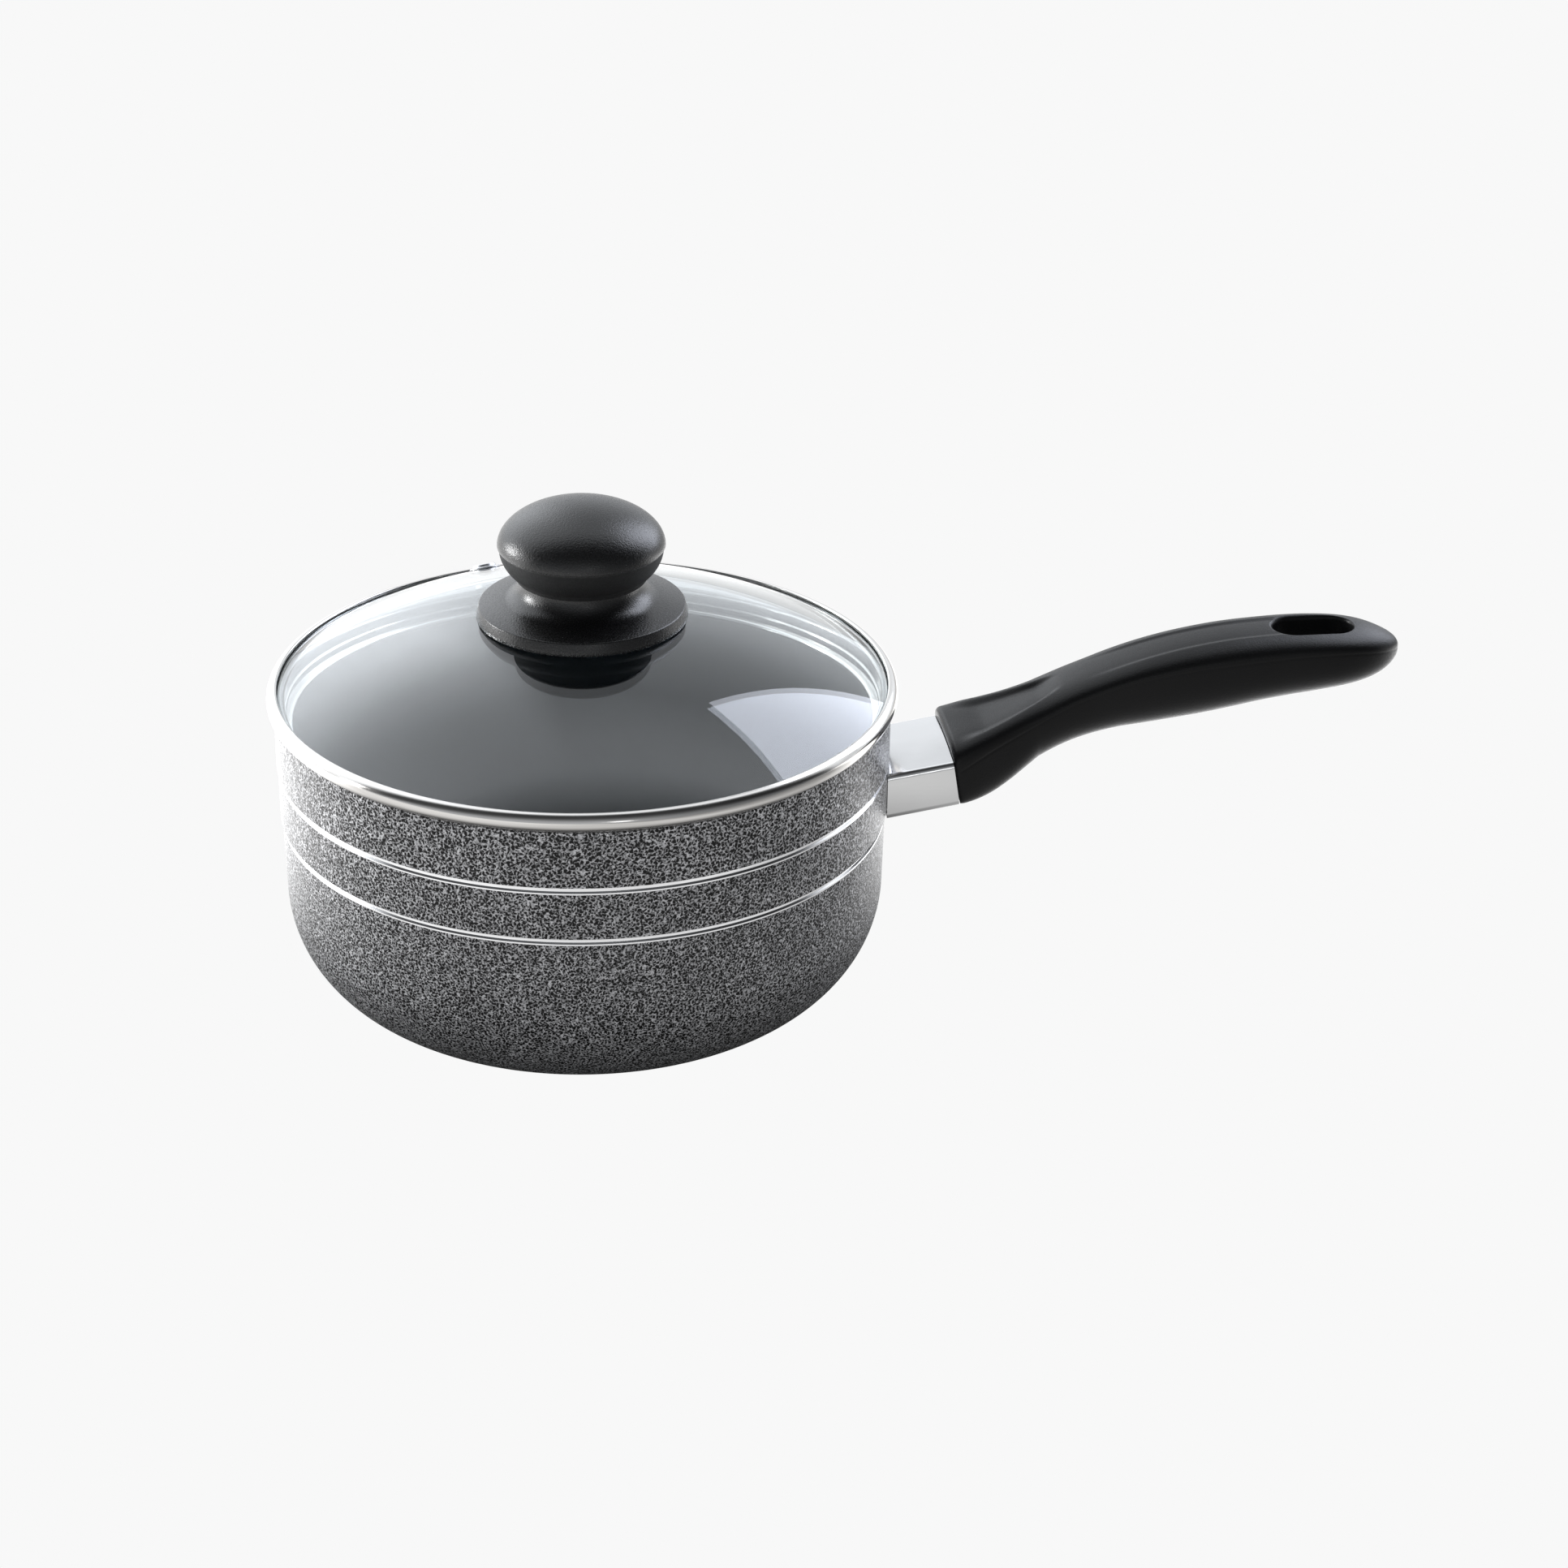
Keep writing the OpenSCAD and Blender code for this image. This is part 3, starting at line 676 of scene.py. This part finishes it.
# distance out, half width, underside, side crease, top
GRIP_STATIONS = [
    (96.0, 16.9, 51.6, 62.0, 69.4), (100.0, 16.7, 52.0, 63.4, 70.4),
    (105.0, 15.6, 52.4, 66.0, 72.2), (110.0, 14.1, 53.6, 68.4, 73.9),
    (115.0, 12.8, 56.0, 70.6, 75.8), (120.0, 11.9, 59.1, 73.0, 77.9),
    (126.0, 11.3, 62.6, 76.1, 80.5), (132.0, 11.0, 65.3, 79.0, 83.0),
    (138.0, 11.0, 67.2, 81.3, 85.3), (145.0, 11.3, 68.7, 83.8, 87.8),
    (152.0, 11.7, 69.6, 85.6, 90.0), (160.0, 12.1, 70.7, 87.2, 92.0),
    (168.0, 12.4, 71.9, 88.4, 93.5), (176.0, 12.6, 73.4, 89.3, 94.6),
    (184.0, 12.6, 75.0, 90.0, 95.2), (192.0, 12.6, 76.3, 90.6, 95.5),
    (200.0, 12.5, 77.4, 90.9, 95.4), (208.0, 11.8, 78.6, 90.7, 94.9),
    (214.0, 10.1, 80.0, 90.0, 94.0), (219.0, 7.2, 82.1, 89.0, 92.4),
    (222.4, 3.6, 84.9, 88.3, 90.5), (223.6, 0.6, 87.4, 88.0, 88.6),
]
GRIP_ROOT = GRIP_STATIONS[0][0]
GRIP_END = GRIP_STATIONS[-1][0]
QUARTER = 40
SLOT_X = 199.4
SLOT_HALF = 11.1
SLOT_R = 5.8


def guard_section(inset):
    """Closed (y, height) outline of the sleeve, smaller all round by inset."""
    arch_r = (GUARD_HALF_W ** 2 + GUARD_ARCH ** 2) / (2 * GUARD_ARCH)
    arch_z = GUARD_HALF_H + GUARD_ARCH - arch_r - inset
    crown = []
    for i in range(2, 11):
        y = GUARD_HALF_W * (1 - 2 * i / 12)
        crown.append((y * (1 - inset / GUARD_HALF_W), arch_z + math.sqrt(arch_r ** 2 - y * y)))
    half_w = GUARD_HALF_W - inset
    low, high = inset - GUARD_HALF_H, GUARD_HALF_H + 0.2 - inset
    corners = [(-half_w, low, 2 - inset), (half_w, low, 2 - inset), (half_w, high, 1.9 - inset)]
    return rounded(corners + crown + [(-half_w, high, 1.9 - inset)])


def along_guard(x, y, up):
    """Point at a distance along, across and up in the sleeve."""
    return GUARD_ROOT + GUARD_AXIS * x + Vector((0, y, 0)) + GUARD_UP * up


def meet_wall(y, up):
    """Distance along the sleeve at which a line in it meets the pan wall."""
    reach = math.sqrt(GUARD_CLEAR_R ** 2 - y * y)
    start = along_guard(0, y, up)
    return (reach - start.x) / GUARD_AXIS.x


def guard_ring(bm, inset, back_off, from_wall):
    """Ring of vertices near the pan wall or near the grip, a little way in from that end."""
    ring = []
    for y, up in guard_section(inset):
        x = meet_wall(y, up) + back_off if from_wall else GUARD_L - back_off
        ring.append(bm.verts.new(along_guard(x, y, up) * MM))
    return ring


def make_guard():
    """Sleeve with softened edges, cut to the round of the pan at its inner end."""
    bm = bmesh.new()
    rings = [
        guard_ring(bm, 0.12, 0.0, True),
        guard_ring(bm, 0.0, 0.12, True),
        guard_ring(bm, 0.0, 0.12, False),
        guard_ring(bm, 0.12, 0.0, False),
        guard_ring(bm, GUARD_T, 0.0, False),
        guard_ring(bm, GUARD_T, 0.0, True),
    ]
    for i, ring in enumerate(rings):
        bridge(bm, ring, rings[(i + 1) % len(rings)])
    return finish_mesh("handle_sleeve", bm, SLEEVE_STEEL)


guard = make_guard()
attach(guard, "pan")
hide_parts("flame_guard")


def station(x):
    """Smooth values between the grip stations."""
    last = len(GRIP_STATIONS) - 1
    i = max(k for k in range(last) if GRIP_STATIONS[k][0] <= x or k == 0)
    p = [GRIP_STATIONS[min(max(k, 0), last)] for k in (i - 1, i, i + 1, i + 2)]
    span = p[2][0] - p[1][0]
    t = (x - p[1][0]) / span
    values = []
    for c in range(1, 5):
        m1 = (p[2][c] - p[0][c]) / max(p[2][0] - p[0][0], 1e-6) * span
        m2 = (p[3][c] - p[1][c]) / max(p[3][0] - p[1][0], 1e-6) * span
        if i == last - 1:
            m2 = (p[2][c] - p[1][c]) * 1.6
        values.append((2 * t ** 3 - 3 * t * t + 1) * p[1][c] + (t ** 3 - 2 * t * t + t) * m1
                      + (3 * t * t - 2 * t ** 3) * p[2][c] + (t ** 3 - t * t) * m2)
    return values


def quarter(half_w, height, power):
    """Points from the side crease to the middle of a superellipse quarter."""
    steps = 240
    fine = []
    for i in range(steps + 1):
        a = math.pi / 2 * i / steps
        fine.append(Vector((half_w * max(0.0, math.cos(a)) ** (2 / power),
                            height * math.sin(a) ** (2 / power))))
    lengths = [0.0]
    for before, after in zip(fine, fine[1:]):
        lengths.append(lengths[-1] + (after - before).length)
    points = []
    at = 0
    for k in range(QUARTER + 1):
        goal = lengths[-1] * (k / QUARTER) ** 1.5
        while at < steps - 1 and lengths[at + 1] < goal:
            at += 1
        part = (goal - lengths[at]) / max(lengths[at + 1] - lengths[at], 1e-9)
        points.append(fine[at].lerp(fine[at + 1], min(1.0, part)))
    return points


def top_hollow(x, y):
    """Depth of the thumb scoop and of the channel that leads to the slot."""
    across = abs(y)
    scoop_w = 13.6 - (x - 99.0) * 0.30
    along = smoothstep(99.0, 109.0, x) * (1 - smoothstep(123.0, 130.0, x))
    scoop = 1.5 * along * (1 - smoothstep(0.66, 1.0, across / max(scoop_w, 1.0)))
    channel = 0.45 * smoothstep(133.0, 152.0, x) * (1 - smoothstep(196.0, 206.0, x))
    return scoop + channel * (1 - smoothstep(4.6, 6.2, across))


def blend(a, b, share):
    return a + (b - a) * min(1.0, max(0.0, share))


def grip_section(x):
    """Closed (y, z) outline across the grip: boxy at the sleeve, oval further out."""
    half_w, low, crease, top = station(x)
    outward = (x - 97.0) / 26.0
    up = quarter(half_w, top - crease, blend(4.0, 2.3, outward))
    down = quarter(half_w, crease - low, blend(8.0, 2.7, outward))
    right = [(p.x, crease + p.y) for p in up] + [(-p.x, crease + p.y) for p in up[-2::-1]]
    left = [(-p.x, crease - p.y) for p in down[1:]] + [(p.x, crease - p.y) for p in down[-2:0:-1]]
    points = []
    seam_depth = 0.10 * smoothstep(0.6, 3.0, half_w)
    seam_w = 0.4
    for y, z in right + left:
        if z > crease:
            z -= top_hollow(x, y) * smoothstep(0.0, 0.5, (z - crease) / (top - crease))
        pull = seam_depth * math.exp(-((z - crease) / seam_w) ** 2)
        y -= math.copysign(min(pull, abs(y)), y)
        points.append((y, z))
    return points


def slot_levels(low_edge, top_edge, edge_r):
    """Heights of the slot cutter and how far it flares at each, rounded at both edges."""
    steps = 8
    levels = [(low_edge - 6.0, 9.0)]
    for i in range(steps + 1):
        a = math.pi / 2 * i / steps
        levels.append((low_edge + edge_r - edge_r * math.cos(a), edge_r - edge_r * math.sin(a)))
    for i in range(steps + 1):
        a = math.pi / 2 * i / steps
        levels.append((top_edge - edge_r + edge_r * math.sin(a), edge_r - edge_r * math.cos(a)))
    levels.append((top_edge + 4.0, 9.0))
    return levels


def slot_cutter():
    """Stadium plug whose ends flare, so that the slot gets rounded edges."""
    low_edge, top_edge, edge_r = 77.6, 95.0, 1.5
    slope = 0.153
    steps = 24
    bm = bmesh.new()
    rings = []
    for height, flare in slot_levels(low_edge, top_edge, edge_r):
        radius = SLOT_R + flare
        tilt = slope * (1 - smoothstep(low_edge, top_edge - edge_r, height))
        ring = []
        for side, start in ((1, -90), (-1, 90)):
            for k in range(steps + 1):
                a = math.radians(start + 180 * k / steps)
                x = SLOT_X + side * (SLOT_HALF - SLOT_R) + radius * math.cos(a)
                y = radius * math.sin(a)
                ring.append(bm.verts.new((x * MM, y * MM, (height + tilt * (x - SLOT_X)) * MM)))
        rings.append(ring)
    for low, high in zip(rings, rings[1:]):
        bridge(bm, low, high)
    bm.faces.new(rings[0])
    bm.faces.new(rings[-1])
    return finish_mesh("slot_cutter", bm, GRIP_BLACK)


def square_off(bm):
    """Cut the grip square to the sleeve and round the edge of the cut."""
    edge_r = 1.6
    root = along_guard(GUARD_L + 0.1, 0, 0) * MM
    for depth in (0.0, 0.12, 0.32, 0.6, 1.0, edge_r):
        whole = bm.verts[:] + bm.edges[:] + bm.faces[:]
        bmesh.ops.bisect_plane(bm, geom=whole, plane_co=root + GUARD_AXIS * depth * MM,
                               plane_no=GUARD_AXIS, clear_inner=depth == 0.0)
    for vert in bm.verts:
        depth = (vert.co - root).dot(GUARD_AXIS) / MM
        if depth >= edge_r:
            continue
        inset = edge_r - math.sqrt(max(0.0, edge_r ** 2 - (edge_r - depth) ** 2))
        up = (vert.co - root).dot(GUARD_UP) / MM
        share = 1.0 if up > 0 else 0.25
        vert.co.y *= 1 - 0.35 * inset / 17.0
        vert.co -= GUARD_UP * (up * share * inset / 10.0 * MM)
    open_edges = [e for e in bm.edges if e.is_boundary]
    bmesh.ops.holes_fill(bm, edges=open_edges, sides=0)


def make_grip():
    """Grip through closely spaced sections, closer still round its tip."""
    places = [GRIP_ROOT + 0.8 * i for i in range(150)]
    tip_start = places[-1]
    tip_steps = 28
    for i in range(1, tip_steps + 1):
        share = math.sin(math.pi / 2 * i / tip_steps)
        places.append(tip_start + (GRIP_END - tip_start) * share)
    bm = bmesh.new()
    rings = []
    for x in places:
        rings.append([bm.verts.new((x * MM, y * MM, z * MM)) for y, z in grip_section(x)])
    for low, high in zip(rings, rings[1:]):
        bridge(bm, low, high)
    bm.faces.new(rings[0])
    bm.faces.new(rings[-1])
    bmesh.ops.recalc_face_normals(bm, faces=bm.faces)
    square_off(bm)
    return cut(finish_mesh("grip", bm, GRIP_BLACK), slot_cutter())


grip = make_grip()
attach(grip, "pan")
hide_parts("handle_grip")


# ------------------------------------------- fittings kept from the CAD

KEPT = {
    "handle_bracket": STEEL, "handle_screw": STEEL, "handle_washer": STEEL,
    "knob_washer": STEEL, "knob_screw": STEEL, "bracket_rivets": RIVET,
    "knob_insert": BRASS, "knob_gasket": RUBBER, "washer_gasket": RUBBER,
}
for node, material in KEPT.items():
    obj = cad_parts[node]
    obj.data.materials.clear()
    obj.data.materials.append(material)
    for polygon in obj.data.polygons:
        polygon.use_smooth = True
    obj.data.set_sharp_from_angle(angle=SHARP_ANGLE)


# -------------------------------------------------------------- studio

class Glow(Nodes):
    """Plain light that varies from place to place."""

    def curve(self, source, stops):
        """Level read off a table of (position, level) stops."""
        span = stops[-1][0] - stops[0][0]
        top = max(level for _, level in stops)
        node = self.add("ValToRGB")
        at = self.math("DIVIDE", self.math("SUBTRACT", source, stops[0][0]), span)
        self.link(at, node.inputs[0])
        elements = node.color_ramp.elements
        while len(elements) < len(stops):
            elements.new(0.5)
        for element, (position, level) in zip(elements, stops):
            element.position = (position - stops[0][0]) / span
            element.color = (level / top, level / top, level / top, 1)
        return self.math("MULTIPLY", node.outputs[0], top)


def make_floor():
    """Pale floor: an even white to the camera; to the pan a glow with a painted shadow round its
    foot and painted brighter patches behind and to the sides.
    """
    bm = bmesh.new()
    reach = 9.0
    corners = [bm.verts.new((x * reach, y * reach, 0)) for x, y in
               ((-1, -1), (1, -1), (1, 1), (-1, 1))]
    bm.faces.new(corners)
    material = bpy.data.materials.new("studio_floor")
    material.use_nodes = True
    g = Glow(material.node_tree)
    x, y, _ = g.axes(g.coordinates("Object"))
    # painted shadow: the glow fades to near dark round the foot of the pan
    painted_contact_shadow = g.curve(g.length(x, y), [(0.05, 0.01), (0.08, 0.06), (0.10, 0.22), (0.13, 0.62),
                                       (0.18, 1.0)])
    # painted pools of light: the glow is brighter to the left, behind the pan and at the far
    # sides
    front = g.curve(x, [(-0.3, 1.15), (-0.12, 1.0), (-0.05, 0.85), (0.05, 0.80), (0.11, 0.88),
                        (0.18, 0.60), (0.25, 0.50), (0.5, 0.35)])
    back = g.curve(y, [(-0.05, 0.0), (-0.01, 0.5), (0.03, 1.6), (0.08, 2.3), (0.20, 2.0),
                       (0.30, 0.7), (0.50, 0.3)])
    side = g.curve(x, [(-0.2, 1.2), (-0.1, 1.1), (0.0, 0.9), (0.1, 0.95), (0.2, 1.15)])
    level = g.math("ADD", front, g.math("MULTIPLY", back, side))
    glow = g.add("Emission")
    g.link(g.math("MULTIPLY", painted_contact_shadow, level), glow.inputs["Strength"])
    seen = g.add("Emission", Color=(0.939, 0.939, 0.939, 1))
    path = g.add("LightPath")
    mix = g.add("MixShader")
    g.link(path.outputs["Is Camera Ray"], mix.inputs[0])
    g.link(glow.outputs[0], mix.inputs[1])
    g.link(seen.outputs[0], mix.inputs[2])
    g.link(mix.outputs[0], g.add("OutputMaterial").inputs["Surface"])
    floor = finish_mesh("studio_floor", bm, material)


def make_sky():
    """Dim above the camera, white past the zenith and behind, a tall window at back left."""
    world = bpy.data.worlds.new("studio")
    bpy.context.scene.world = world
    world.use_nodes = True
    g = Glow(world.node_tree)
    x, y, z = g.axes(g.coordinates("Generated"))
    # angle over the top, from the horizon at the front to the one at the back
    over = g.math("DEGREES", g.math("ARCTAN2", z, g.math("MULTIPLY", y, -1.0)))
    base = g.curve(over, [(0, 0.66), (14, 0.60), (26, 0.48), (35, 0.34), (46, 0.18), (60, 0.07),
                          (86, 0.05), (93, 0.3), (99, 0.85), (106, 1.5), (113, 1.4),
                          (127, 0.88), (142, 0.95), (155, 1.15), (180, 1.2)])
    # the front right is dimmer still
    dim = g.curve(x, [(0.0, 0.0), (0.35, 0.35), (0.7, 0.58), (1.0, 0.65)])
    ahead = g.curve(y, [(-0.25, 1.0), (0.2, 0.0)])
    flank = g.math("SUBTRACT", 1.0, g.math("MULTIPLY", dim, ahead))
    # the window, by its heading to the left of straight back and its height
    heading = g.math("DEGREES", g.math("ARCTAN2", g.math("MULTIPLY", x, -1.0), y))
    height = g.math("DEGREES", g.math("ARCSINE", z))
    wide = g.curve(heading, [(-6, 0.0), (1, 0.06), (5, 0.45), (10, 0.9), (16, 1.0), (48, 1.0),
                             (62, 0.5), (80, 0.0)])
    tall = g.curve(height, [(-8, 0.1), (4, 0.3), (14, 0.7), (23, 0.95), (32, 0.95), (39, 0.72),
                            (49, 0.5), (57, 0.28), (66, 0.12), (76, 0.0)])
    window = g.math("MULTIPLY", g.math("MULTIPLY", wide, tall), 1.85)
    background = g.add("Background", Color=(0.93, 0.96, 1.0, 1))
    level = g.math("ADD", g.math("MULTIPLY", base, flank), window)
    g.link(level, background.inputs["Strength"])
    g.link(background.outputs[0], g.add("OutputWorld").inputs["Surface"])


def soft_box(name, middle, across, upward, width, height, radiance, tint=(1.0, 1.0, 1.0)):
    """Rectangular lamp spanned by two directions; it shines against their cross product."""
    data = bpy.data.lights.new(name, "AREA")
    data.shape = "RECTANGLE"
    data.size = width
    data.size_y = height
    data.energy = radiance * width * height * math.pi
    data.color = tint
    light = bpy.data.objects.new(name, data)
    bpy.context.scene.collection.objects.link(light)
    side = Vector(across).normalized()
    back = side.cross(Vector(upward)).normalized()
    turn = Matrix((side, back.cross(side), back)).transposed().to_4x4()
    light.matrix_world = Matrix.Translation(middle) @ turn
    light.visible_camera = False


def facing_box(name, middle, width, height, radiance):
    """Lamp that faces the pan, with level top and bottom edges."""
    back = Vector(middle).normalized()
    side = Vector((0, 0, 1)).cross(back)
    soft_box(name, middle, side, back.cross(side), width, height, radiance)


def make_camera():
    """Camera at the height, heading and lens that frame the pan."""
    data = bpy.data.cameras.new("camera")
    data.sensor_width = 36.0
    data.lens = 88.05
    data.clip_start = 0.05
    data.clip_end = 60.0
    camera = bpy.data.objects.new("camera", data)
    right = Vector((0.99135, -0.13088, 0.01027))
    forward = Vector((0.12218, 0.89118, -0.43689))
    up = right.cross(forward)
    turn = Matrix((right, up, -forward)).transposed().to_4x4()
    camera.matrix_world = Matrix.Translation((-0.07329, -0.93128, 0.51088)) @ turn
    bpy.context.scene.collection.objects.link(camera)
    bpy.context.scene.camera = camera


make_floor()
make_sky()
soft_box("right_box", (0.558, 0.392, 0.500), (0.432, -0.881, -0.192), (0.455, 0.420, -0.785),
         0.45, 0.62, 4.2, (0.84, 0.88, 1.0))
facing_box("left_box", (-1.087, 0.496, 0.33), 0.24, 0.34, 34.0)
facing_box("side_strip", (-1.2, -0.02, 0.30), 0.08, 0.5, 9.0)
facing_box("front_box", (0.17, -1.31, 0.42), 0.14, 0.2, 2.4)
make_camera()
bpy.context.scene.view_settings.view_transform = "Standard"
